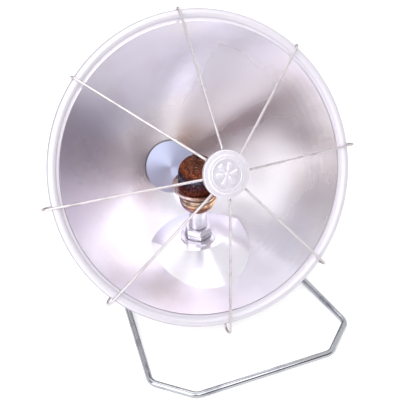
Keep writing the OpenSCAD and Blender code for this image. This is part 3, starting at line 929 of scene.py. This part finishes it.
@dataclass(frozen=True)
class Cloth:
    """Woven wire cloth over the burner's dome.

    The cloth follows an upright side and a half ball. Its hoops and ribs are thin
    round threads that pass over and under each other: each thread's path stands off
    the dome by a cosine wave that changes sign from one crossing to the next.

    Attributes:
        thread: Radius of a thread.
        wave: How far a thread swings off the dome.
        hoops: Threads round the dome.
        ribs: Threads up the dome, an even number.
        sides: Sides of a thread.
        top: How far up the ball the cloth reaches, in degrees.
    """

    thread: float = 0.00026
    wave: float = 0.00020
    hoops: int = 26
    ribs: int = 72
    sides: int = 5
    top: float = 86.0

    def over_dome(self, along: np.ndarray, radius: float, side: float) -> tuple[np.ndarray, np.ndarray]:
        """Profile of the dome: radius and height at a distance from its foot.

        Args:
            along: Distance from the foot, up the side and over the ball.
            radius: Radius of the dome.
            side: Height of its upright part.

        Returns:
            Distance from the axis and height over the foot.
        """
        turn = np.clip((along - side) / radius, 0.0, None)
        return radius * np.cos(turn), np.minimum(along, side) + radius * np.sin(turn)

    def placed(
        self, along: np.ndarray, turn: np.ndarray, sign: np.ndarray, radius: float, side: float
    ) -> tuple[np.ndarray, np.ndarray]:
        """Points on the waving cloth: the dome plus the wave along its outward direction.

        Args:
            along: Distances from the dome's foot.
            turn: Angles round the dome.
            sign: Where each point stands in its wave, from -1 to 1.
            radius: Radius of the dome.
            side: Height of its upright part.

        Returns:
            The points and the dome's outward directions there.
        """
        along, turn = np.broadcast_arrays(along, turn)
        away, height = self.over_dome(along, radius, side)
        lean = np.clip((along - side) / radius, 0.0, None)
        out = np.stack([np.cos(lean) * np.cos(turn), np.cos(lean) * np.sin(turn), np.sin(lean)], axis=-1)
        on = np.stack([away * np.cos(turn), away * np.sin(turn), height], axis=-1)
        return on + out * (self.wave * sign + self.wave)[..., None], out

    def numbers(self, length: int, path: np.ndarray, place: np.ndarray, side: np.ndarray) -> np.ndarray:
        """Numbers of points, counted by path, then by place, then by side."""
        return ((path * length + place) * self.sides + side).ravel()

    def tubes(self, paths: np.ndarray, outward: np.ndarray, closed: bool) -> tuple[np.ndarray, np.ndarray]:
        """Round threads along many paths at once.

        A ring of points stands across the path at each of its points. Open threads
        shrink to a point at both ends.

        Args:
            paths: Points of the paths, by path and place.
            outward: Outward directions at those points.
            closed: Whether each path comes back to its start.

        Returns:
            The points and the faces.
        """
        count, length = paths.shape[:2]
        if closed:
            run = np.roll(paths, -1, axis=1) - np.roll(paths, 1, axis=1)
        else:
            run = np.gradient(paths, axis=1)
        run /= np.linalg.norm(run, axis=2, keepdims=True)
        across = np.cross(run, outward)
        across /= np.linalg.norm(across, axis=2, keepdims=True)
        over = np.cross(across, run)
        thick = np.full(length, self.thread)
        if not closed:
            thick[[0, -1]] = 0.0
        turn = np.arange(self.sides) * 2.0 * np.pi / self.sides
        ring = across[:, :, None] * np.cos(turn)[:, None] + over[:, :, None] * np.sin(turn)[:, None]
        points = paths[:, :, None] + ring * thick[:, None, None]
        steps = length if closed else length - 1
        i, j, k = np.meshgrid(np.arange(count), np.arange(steps), np.arange(self.sides), indexing="ij")
        j_next, k_next = (j + 1) % length, (k + 1) % self.sides
        corners = ((j, k), (j_next, k), (j_next, k_next), (j, k_next))
        faces = np.stack([self.numbers(length, i, *corner) for corner in corners], axis=1)
        return points.reshape(-1, 3), faces

    def build(self, low: Vector, high: Vector) -> bpy.types.Object:
        """Weaves the cloth over the dome that fills a box.

        Args:
            low: Lowest corner of the dome's box.
            high: Its highest corner.

        Returns:
            The cloth.
        """
        radius = (high.x - low.x) / 2.0
        side = high.z - low.z - radius
        foot = np.array([(low.x + high.x) / 2.0, (low.y + high.y) / 2.0, low.z])
        reach = side + radius * math.radians(self.top)
        row, rib = np.arange(self.hoops)[:, None], np.arange(self.ribs)[:, None]
        around = np.arange(self.ribs * 2)[None, :] * np.pi / self.ribs
        sign = np.cos(self.ribs / 2.0 * around + np.pi * row)
        hoops, hoops_out = self.placed((row + 0.5) * reach / self.hoops, around, sign, radius, side)
        climb = np.linspace(0.0, reach, self.hoops * 2 + 1)[None, :]
        swing = -np.cos(np.pi * (climb * self.hoops / reach - 0.5) + np.pi * rib)
        ribs, ribs_out = self.placed(climb, rib * 2.0 * np.pi / self.ribs, swing, radius, side)
        hoop_points, hoop_faces = self.tubes(hoops, hoops_out, closed=True)
        rib_points, rib_faces = self.tubes(ribs, ribs_out, closed=False)
        points = np.concatenate([hoop_points, rib_points]) + foot
        faces = np.concatenate([hoop_faces, rib_faces + len(hoop_points)])
        return smooth_mesh("gauze_cloth", points, faces)


@dataclass(frozen=True)
class Burner:
    """The burner: woven gauze dome, collar and bowl.

    Attributes:
        cloth: The cloth over the dome.
        dome: Finish of the near-black dome under the cloth, painted shade of the burner's inside seen between
            the threads.
        gauze: Finish of the cloth.
        collar: Finish of the collar.
        bowl: Finish of the bowl.
    """

    cloth: Cloth = Cloth()
    # Near-black dome: painted shade of the burner's inside, seen between the threads
    dome: Plated = Plated("gauze_dome", (0.05, 0.02, 0.02), (0.02, 0.015, 0.02), 0.5, Mottle(200.0))
    gauze: HeatTinted = HeatTinted(
        Slot.GAUZE.value,
        (
            (0.0, (0.46, 0.12, 0.06)), (0.13, (0.26, 0.05, 0.04)), (0.27, (0.12, 0.03, 0.06)),
            (0.38, (0.03, 0.03, 0.06)), (0.46, (0.22, 0.27, 0.46)), (0.53, (0.03, 0.025, 0.05)),
            (0.62, (0.26, 0.05, 0.025)), (0.73, (0.52, 0.14, 0.04)), (0.82, (0.28, 0.06, 0.025)),
            (0.90, (0.22, 0.07, 0.03)), (1.0, (0.07, 0.02, 0.015)),
        ),
        roughness=0.3,
        ragged=0.010,
        specks=Mottle(420.0, (0.46, 0.66), 0.95, (0.4, 0.7), (-0.05, 0.12)),
        # Pale specks: painted glints of the woven threads
        gleams=Mottle(714.0, (0.55, 0.68), 0.5, detail=2.0),
    )
    collar: HeatTinted = HeatTinted(
        Slot.COLLAR.value,
        ((0.0, (0.10, 0.05, 0.04)), (0.6, (0.16, 0.07, 0.05)), (1.0, (0.34, 0.18, 0.13))),
        roughness=0.3,
        ragged=0.001,
        # Painted reflection along the outline: pale at the left, dark brown at the right
        left=(0.96, 0.84, 0.85),
        right=(0.30, 0.13, 0.08),
        grazing=(-0.2, 0.5),
        middle=-0.014,
    )
    bowl: HeatTinted = HeatTinted(
        Slot.BOWL.value,
        (
            (0.0, (0.56, 0.26, 0.08)), (0.09, (0.38, 0.10, 0.05)), (0.22, (0.24, 0.06, 0.04)),
            (0.34, (0.46, 0.20, 0.07)), (0.42, (0.13, 0.05, 0.04)), (0.52, (0.56, 0.38, 0.23)),
            (0.60, (0.13, 0.07, 0.06)), (0.69, (0.62, 0.47, 0.34)), (0.77, (0.15, 0.09, 0.08)),
            (0.85, (0.60, 0.46, 0.34)), (0.91, (0.06, 0.03, 0.03)), (1.0, (0.05, 0.025, 0.025)),
        ),
        roughness=0.22,
        ragged=0.0025,
        rings=420.0,
        # Painted reflection along the outline: purple at the left, orange at the right
        left=(0.20, 0.12, 0.34),
        right=(0.80, 0.42, 0.16),
    )

    def dress(self, nodes: Nodes) -> None:
        """Paints the burner's parts by height and weaves the cloth.

        Args:
            nodes: All nodes by name.
        """
        for finish, names in ((self.collar, ["burner_collar"]), (self.bowl, ["burner_bowl", "gas_diffuser"])):
            low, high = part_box(names[0])
            repaint(nodes, names, finish.make(low.z, high.z))
        # The dome under the cloth is painted near-black, as the shaded inside of the burner
        repaint(nodes, ["burner_gauze"], self.dome.make())
        low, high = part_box("burner_gauze")
        dressed(self.cloth.build(low, high), self.gauze.make(low.z, high.z), Body.HEAD)


@dataclass(frozen=True)
class Stacked:
    """Plated parts stacked on the stem, with grime and painted shade in their joints.

    Attributes:
        name: Name of the material.
        colour: Colour of unworn metal.
        worn: Colour where it is dull.
        wear: Where it is dull.
        roughness: Mean roughness.
        grain: Grains per metre.
        depth: Height of the grain.
        dirt_and_shade: Colour of the grime and painted shade.
        share: How much of it covers where it is thickest.
        thin: Share of that where it is thinnest.
        patchy: Noise values between which it goes from thin to thick.
        dirt_rough: How much rougher it is.
        reach: How far it spreads up and down from the darkest joint.
        core: Share of that over which a joint's grime and painted shade are full.
        foot: How far off the stem a joint keeps them.
        fade: Share of that distance at which they are full.
        spread: How many times the reach the grime and painted shade round the stem spread outwards.
        full: Distance off the stem at which that grime and painted shade are full.
        skin: Distances off the stem between which a point counts as off the stem.
    """

    name: str
    colour: Colour = (0.68, 0.66, 0.72)
    worn: Colour = (0.52, 0.49, 0.55)
    wear: Mottle = Mottle(130.0)
    roughness: float = 0.3
    grain: float = 2600.0
    depth: float = 0.00001
    dirt_and_shade: Colour = (0.14, 0.13, 0.16)
    share: float = 0.55
    thin: float = 0.7
    patchy: Range = (0.2, 0.6)
    dirt_rough: float = 0.3
    reach: float = 0.0007
    core: float = 0.3
    foot: float = 0.0056
    fade: float = 0.9
    spread: float = 1.4
    full: float = 0.0001
    skin: Range = (0.00002, 0.00005)

    def dirt_and_shade_mask(self, g: Graph, stem: Box, joints: Sequence[float]) -> Socket:
        """Where the grime and painted shade lie: round the stem and in the joints.

        Args:
            g: Node tree to work in.
            stem: The stem tube's box.
            joints: Heights at which two parts meet, the darkest one last.

        Returns:
            The mask of grime and painted shade, from 0 to 1.
        """
        _, _, z = g.split(g.place)
        middle = tuple((stem[0] + stem[1]) / 2.0)
        radius = g.from_axis(g.vector("SUBTRACT", g.place, middle))
        gap = g.math("SUBTRACT", radius, (stem[1].x - stem[0].x) / 2.0)
        # Grime and painted contact shade: round the stem, then in each joint
        dirt_and_shade = g.math("MULTIPLY", g.span(gap, self.reach * self.spread, self.full), g.span(gap, *self.skin))
        kept = g.span(gap, self.foot, self.foot * self.fade)
        for number, height in enumerate(joints, 1):
            reach = self.reach * number / len(joints)
            away = g.math("ABSOLUTE", g.math("SUBTRACT", z, height))
            seam = g.math("MULTIPLY", g.span(away, reach, reach * self.core), kept)
            dirt_and_shade = g.math("MAXIMUM", dirt_and_shade, seam)
        return dirt_and_shade

    def make(self, stem: Box, joints: Sequence[float]) -> bpy.types.Material:
        """Builds the material.

        Args:
            stem: The stem tube's box.
            joints: Heights at which two parts meet, the darkest one last.

        Returns:
            The finished material.
        """
        g = Graph(self.name)
        wear = self.wear.noise(g, g.place)
        cover = g.span(wear, *self.patchy, self.share * self.thin, self.share)
        # Grime and painted shade darken the joints
        dirt_and_shade = g.math("MULTIPLY", self.dirt_and_shade_mask(g, stem, joints), cover)
        tint = g.mix(dirt_and_shade, self.wear.tint(g, wear, self.colour, self.worn), self.dirt_and_shade)
        rough = self.wear.roughness(g, wear)
        rough = g.math("ADD", rough, g.math("MULTIPLY", dirt_and_shade, self.dirt_rough), self.roughness)
        g.set(Base_Color=tint, Metallic=1.0, Roughness=rough)
        g.set(Normal=g.bump(g.noise(g.place, self.grain), self.depth))
        return g.material


@dataclass(frozen=True)
class Hardware:
    """Stem, nuts, washers, bracket and gas parts.

    Attributes:
        plate: Finish of the nuts at pivot and bracket, washers, bracket and backing disc.
        nuts: Finish of the nuts and washer on the seat.
        stem: Finish of the stem tube.
        brass: Finish of the gas parts.
    """

    plate: Plated = Plated(
        Slot.FASTENER.value, (0.62, 0.60, 0.66), (0.46, 0.43, 0.48), 0.2, Mottle(120.0)
    )
    nuts: Stacked = Stacked("seat_fasteners")
    stem: Stacked = Stacked(
        Slot.STEM.value, (0.74, 0.74, 0.79), (0.62, 0.60, 0.66), roughness=0.34, reach=0.0011
    )
    brass: Plated = Plated(Slot.BRASS.value, (0.72, 0.53, 0.22), (0.46, 0.32, 0.13), 0.26, Mottle(80.0))

    def dress(self, nodes: Nodes) -> None:
        """Paints the parts, with grime and painted shade where nuts, washer and stem meet.

        Args:
            nodes: All nodes by name.
        """
        plated = [
            "guard_backing_disc", "under_washer", "tilt_bracket", "lower_nut",
            "pivot_jam_nuts", "pivot_washers", "pivot_lock_nuts",
        ]
        repaint(nodes, plated, self.plate.make())
        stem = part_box("stem_tube")
        joints = [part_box(name)[0].z for name in ("upper_lock_nut", "upper_nut")]
        repaint(nodes, ["upper_nut", "upper_lock_nut", "seat_washer"], self.nuts.make(stem, joints))
        repaint(nodes, ["stem_tube"], self.stem.make(stem, [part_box("upper_nut")[1].z]))
        repaint(nodes, ["gas_elbow", "injector", "gas_inlet"], self.brass.make())


@dataclass(frozen=True)
class Stand:
    """The bent rod stand.

    Attributes:
        chrome: Its finish.
    """

    chrome: Plated = Plated(Slot.CHROME.value, (0.44, 0.45, 0.48), (0.30, 0.31, 0.34), 0.08, Mottle(60.0))

    def dress(self, nodes: Nodes) -> None:
        """Paints the rod."""
        repaint(nodes, ["stand_rod"], self.chrome.make())


@dataclass(frozen=True)
class Lamp:
    """A square soft white lamp.

    Attributes:
        name: Its name.
        at: Where it hangs.
        aim: Point that it faces.
        side: Length of its side.
        power: Watts.
    """

    name: str
    at: Triple
    aim: Triple
    side: float
    power: float

    def hang(self) -> None:
        """Puts the lamp in the scene."""
        data = bpy.data.lights.new(self.name, "AREA")
        data.shape = "SQUARE"
        data.size = self.side
        data.energy = self.power
        lamp = bpy.data.objects.new(self.name, data)
        lamp.location = self.at
        lamp.rotation_mode = "QUATERNION"
        lamp.rotation_quaternion = (Vector(self.aim) - Vector(self.at)).to_track_quat("-Z", "Y")
        bpy.context.scene.collection.objects.link(lamp)
        log.info("lamp %s", self.name)


@dataclass(frozen=True)
class Card:
    """A soft-edged board that only reflections show, like the dim parts of a room.

    Attributes:
        name: Its name.
        azimuth: Where it stands, seen from the heater; 0 is in front, 90 to the right.
        elevation: Height angle of its middle, in degrees.
        width: Its width.
        height: Its height.
        colour: Colour that reflections show.
        core: Share of the board before its edge starts to fade.
        distance: From the heater to its middle.
    """

    name: str
    azimuth: float
    elevation: float
    width: float
    height: float
    colour: Colour
    core: float = 0.3
    distance: float = 1.7

    def paint(self, middle: np.ndarray, right: np.ndarray, up: np.ndarray) -> bpy.types.Material:
        """Builds the board's glow, which fades to clear along an ellipse.

        Args:
            middle: The board's middle.
            right: Unit vector along its width.
            up: Unit vector along its height.

        Returns:
            The finished material.
        """
        g = Graph(self.name)
        g.tree.nodes.remove(g.shader)
        offset = g.vector("SUBTRACT", g.place, tuple(middle))
        sides = ((right, self.width), (up, self.height))
        shares = [g.math("DIVIDE", g.vector("DOT_PRODUCT", offset, tuple(a)), b / 2.0) for a, b in sides]
        edge = g.math("SQRT", g.math("ADD", *(g.math("MULTIPLY", share, share) for share in shares)))
        glow = g.add("ShaderNodeEmission")
        g.put(glow.inputs["Color"], self.colour)
        fade = g.add("ShaderNodeMixShader")
        parts = (g.span(edge, self.core, 1.0), glow.outputs[0], g.add("ShaderNodeBsdfTransparent").outputs[0])
        for socket, part in zip(fade.inputs, parts):
            g.put(socket, part)
        g.put(g.end.inputs["Surface"], fade.outputs[0])
        return g.material

    def stand(self, target: Triple) -> None:
        """Puts the board in the scene, facing the heater.

        Args:
            target: Middle of the heater.
        """
        a, e = math.radians(self.azimuth), math.radians(self.elevation)
        away = np.array([math.sin(a) * math.cos(e), -math.cos(a) * math.cos(e), math.sin(e)])
        right = np.array([math.cos(a), math.sin(a), 0.0])
        up = np.cross(right, -away)
        middle = np.array(target) + away * self.distance
        board = flat_board(self.name, middle, self.width * right, self.height * up)
        board.data.materials.append(self.paint(middle, right, up))
        board.visible_camera = False
        board.visible_diffuse = False
        board.visible_shadow = False
        board.visible_transmission = False
        log.info("card %s", self.name)


@dataclass(frozen=True)
class Studio:
    """Pale floor, soft lamps and a plain world.

    Attributes:
        floor_side: Length of the floor's side.
        floor_drop: How far the floor lies below the object's foot.
        floor_colour: Colour of the floor.
        lift: Glow of the floor towards the camera and in reflections.
        ambient: Strength of the world on matt surfaces.
        lamps: The lamps.
        cards: The boards that reflections show.
    """

    floor_side: float = 8.0
    floor_drop: float = 0.0002
    floor_colour: Colour = (0.80, 0.80, 0.80)
    lift: float = 0.46
    ambient: float = 0.55
    lamps: tuple[Lamp, ...] = (
        Lamp("left", (-1.52, -0.72, 1.21), (0.0, 0.0, 0.15), 1.8, 26.0),
        Lamp("top", (0.11, -1.23, 1.72), (0.0, 0.0, 0.15), 1.3, 11.0),
        Lamp("back", (0.0, 0.9, 2.1), (0.0, 0.0, 0.1), 1.4, 8.0),
    )
    cards: tuple[Card, ...] = (
        Card("dim_room", 28.0, 13.0, 2.7, 1.6, (0.14, 0.11, 0.14), core=0.45),
        Card("grey_left", -27.0, 20.0, 1.7, 1.8, (0.62, 0.58, 0.64), core=0.4, distance=1.8),
        Card("dim_camera", -22.0, 37.0, 0.55, 0.45, (0.12, 0.11, 0.13), distance=1.5),
        Card("dim_left", -97.0, 20.0, 1.2, 2.4, (0.50, 0.48, 0.54), distance=1.5),
        Card("dim_back", 180.0, 14.0, 4.6, 1.5, (0.24, 0.25, 0.26)),
    )

    def seen(self, tree: bpy.types.NodeTree) -> Socket:
        """Number that is 1 for rays that show the background.

        Args:
            tree: Node tree to work in.

        Returns:
            The sum of camera, glossy and transmission rays, at most 1.
        """
        path = tree.nodes.new("ShaderNodeLightPath")
        total = path.outputs["Is Camera Ray"]
        for name in ("Is Glossy Ray", "Is Transmission Ray"):
            step = tree.nodes.new("ShaderNodeMath")
            step.operation = "ADD"
            step.use_clamp = True
            tree.links.new(total, step.inputs[0])
            tree.links.new(path.outputs[name], step.inputs[1])
            total = step.outputs[0]
        return total

    def floor(self) -> None:
        """Lays the floor: matt and pale, with a glow that leaves the object's shadow on it."""
        side = self.floor_side
        middle = np.array([0.0, 0.0, -self.floor_drop])
        floor = flat_board("floor", middle, np.array([side, 0.0, 0.0]), np.array([0.0, side, 0.0]))
        g = Graph("floor_paint")
        g.tree.nodes.remove(g.shader)
        matt = g.add("ShaderNodeBsdfDiffuse")
        g.put(matt.inputs["Color"], self.floor_colour)
        glow = g.add("ShaderNodeEmission")
        g.put(glow.inputs["Color"], WHITE)
        g.put(glow.inputs["Strength"], g.math("MULTIPLY", self.seen(g.tree), self.lift))
        both = g.add("ShaderNodeAddShader")
        g.put(both.inputs[0], matt.outputs[0])
        g.put(both.inputs[1], glow.outputs[0])
        g.put(g.end.inputs["Surface"], both.outputs[0])
        floor.data.materials.append(g.material)
        log.info("floor laid")

    def world(self) -> None:
        """Sets a plain world: white to look at, soft on the object."""
        world = bpy.data.worlds.new("studio")
        bpy.context.scene.world = world
        world.use_nodes = True
        tree = world.node_tree
        tree.nodes.clear()
        pick = tree.nodes.new("ShaderNodeMixShader")
        end = tree.nodes.new("ShaderNodeOutputWorld")
        tree.links.new(self.seen(tree), pick.inputs[0])
        for place, strength in ((1, self.ambient), (2, 1.0)):
            sky = tree.nodes.new("ShaderNodeBackground")
            sky.inputs["Color"].default_value = (*WHITE, 1.0)
            sky.inputs["Strength"].default_value = strength
            tree.links.new(sky.outputs[0], pick.inputs[place])
        tree.links.new(pick.outputs[0], end.inputs["Surface"])
        log.info("world set")

    def build(self, target: Triple) -> None:
        """Builds floor, world, lamps and cards.

        Args:
            target: Middle of the heater.
        """
        self.floor()
        self.world()
        for lamp in self.lamps:
            lamp.hang()
        for card in self.cards:
            card.stand(target)


@dataclass(frozen=True)
class PhotoCamera:
    """The camera at the photograph's place.

    Attributes:
        azimuth: Angle round the object, in degrees; 0 looks along +Y.
        elevation: Angle above the horizon, in degrees.
        roll: Turn about the view line, in degrees.
        aside: How far the rim's centre stands right of and above the middle of the
            view, in shares of the distance.
        distance: From the camera to the rim's centre, along the view line.
        lens: Focal length, in millimetres.
        sensor: Width of the sensor, in millimetres.
        clip: Nearest and farthest distance that is drawn.
    """

    azimuth: float = -22.18
    elevation: float = 37.08
    roll: float = -0.59
    aside: Range = (0.0049, 0.03143)
    distance: float = 0.9747
    lens: float = 90.0
    sensor: float = 36.0
    clip: Range = (0.01, 100.0)

    def stand(self, target: Triple) -> None:
        """Puts the camera in the scene.

        Args:
            target: The rim's centre.
        """
        a, e, t = (math.radians(v) for v in (self.azimuth, self.elevation, self.roll))
        back = Vector((math.sin(a) * math.cos(e), -math.cos(a) * math.cos(e), math.sin(e)))
        level = Vector((math.cos(a), math.sin(a), 0.0))
        upright = back.cross(level)
        right = math.cos(t) * level + math.sin(t) * upright
        up = math.cos(t) * upright - math.sin(t) * level
        place = Vector(target) + (back - right * self.aside[0] - up * self.aside[1]) * self.distance
        data = bpy.data.cameras.new("camera")
        data.lens = self.lens
        data.sensor_width = self.sensor
        data.clip_start, data.clip_end = self.clip
        camera = bpy.data.objects.new("camera", data)
        camera.matrix_world = Matrix.Translation(place) @ Matrix((right, up, back)).transposed().to_4x4()
        bpy.context.scene.collection.objects.link(camera)
        bpy.context.scene.camera = camera
        log.info("camera set")


def main() -> None:
    """Dresses the exact model, adds the new pieces and sets the studio."""
    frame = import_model()
    nodes = frame["nodes"]
    bpy.context.scene.view_settings.view_transform = "Standard"
    reflector = Reflector()
    reflector.dress(nodes)
    Guard().dress(nodes, reflector.where)
    Burner().dress(nodes)
    Hardware().dress(nodes)
    Stand().dress(nodes)
    Studio().build(reflector.where.centre)
    PhotoCamera().stand(reflector.where.centre)


if __name__ == "__main__":
    main()
